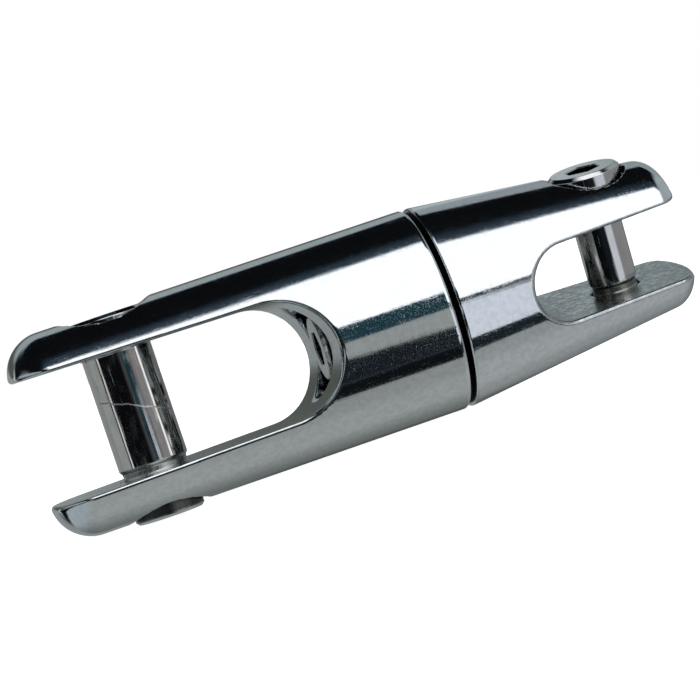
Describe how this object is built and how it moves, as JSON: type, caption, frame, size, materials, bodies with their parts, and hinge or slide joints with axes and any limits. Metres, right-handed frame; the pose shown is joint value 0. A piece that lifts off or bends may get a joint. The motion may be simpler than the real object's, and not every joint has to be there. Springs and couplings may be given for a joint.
{
  "type": "anchor swivel",
  "caption": "Polished stainless swivel joining anchor to chain: a wide fork and a tapered fork turn on a bolt, each closed by a hex-socket screw pin.",
  "frame": {"origin": "centre of the anchor pin, on the swivel axis", "axes": "+X along the swivel axis towards the chain end; +Z along the anchor pin towards its head"},
  "size_m": [0.0859, 0.026, 0.0265],
  "materials": {
    "polished_body": "mirror-polished stainless steel with fine scratches",
    "pin_steel": "turned and lightly polished stainless steel",
    "turned_steel": "turned stainless steel",
    "bearing_bronze": "satin bearing bronze",
    "dark_washer": "black acetal"
  },
  "bodies": {
    "anchor_side": {"anchor_fork": "polished_body", "head_washer": "turned_steel", "joint_washer": "dark_washer", "swivel_bush": "bearing_bronze"},
    "chain_side": {"chain_fork": "polished_body", "swivel_bolt": "turned_steel", "bolt_lock_screw": "turned_steel"},
    "anchor_screw_pin": {"anchor_pin": "pin_steel"},
    "chain_screw_pin": {"chain_pin": "pin_steel"}
  },
  "joints": [
    {"name": "swivel", "type": "hinge", "parent": "anchor_side", "child": "chain_side", "pos_m": [0.0396, 0, 0], "axis": [1, 0, 0], "continuous": true},
    {"name": "anchor_pin_withdraw", "type": "slide", "parent": "anchor_side", "child": "anchor_screw_pin", "axis": [0, 0, 1], "range_m": [0, 0.036]},
    {"name": "chain_pin_withdraw", "type": "slide", "parent": "chain_side", "child": "chain_screw_pin", "axis": [0, -0.2011, 0.9796], "range_m": [0, 0.026]}
  ]
}
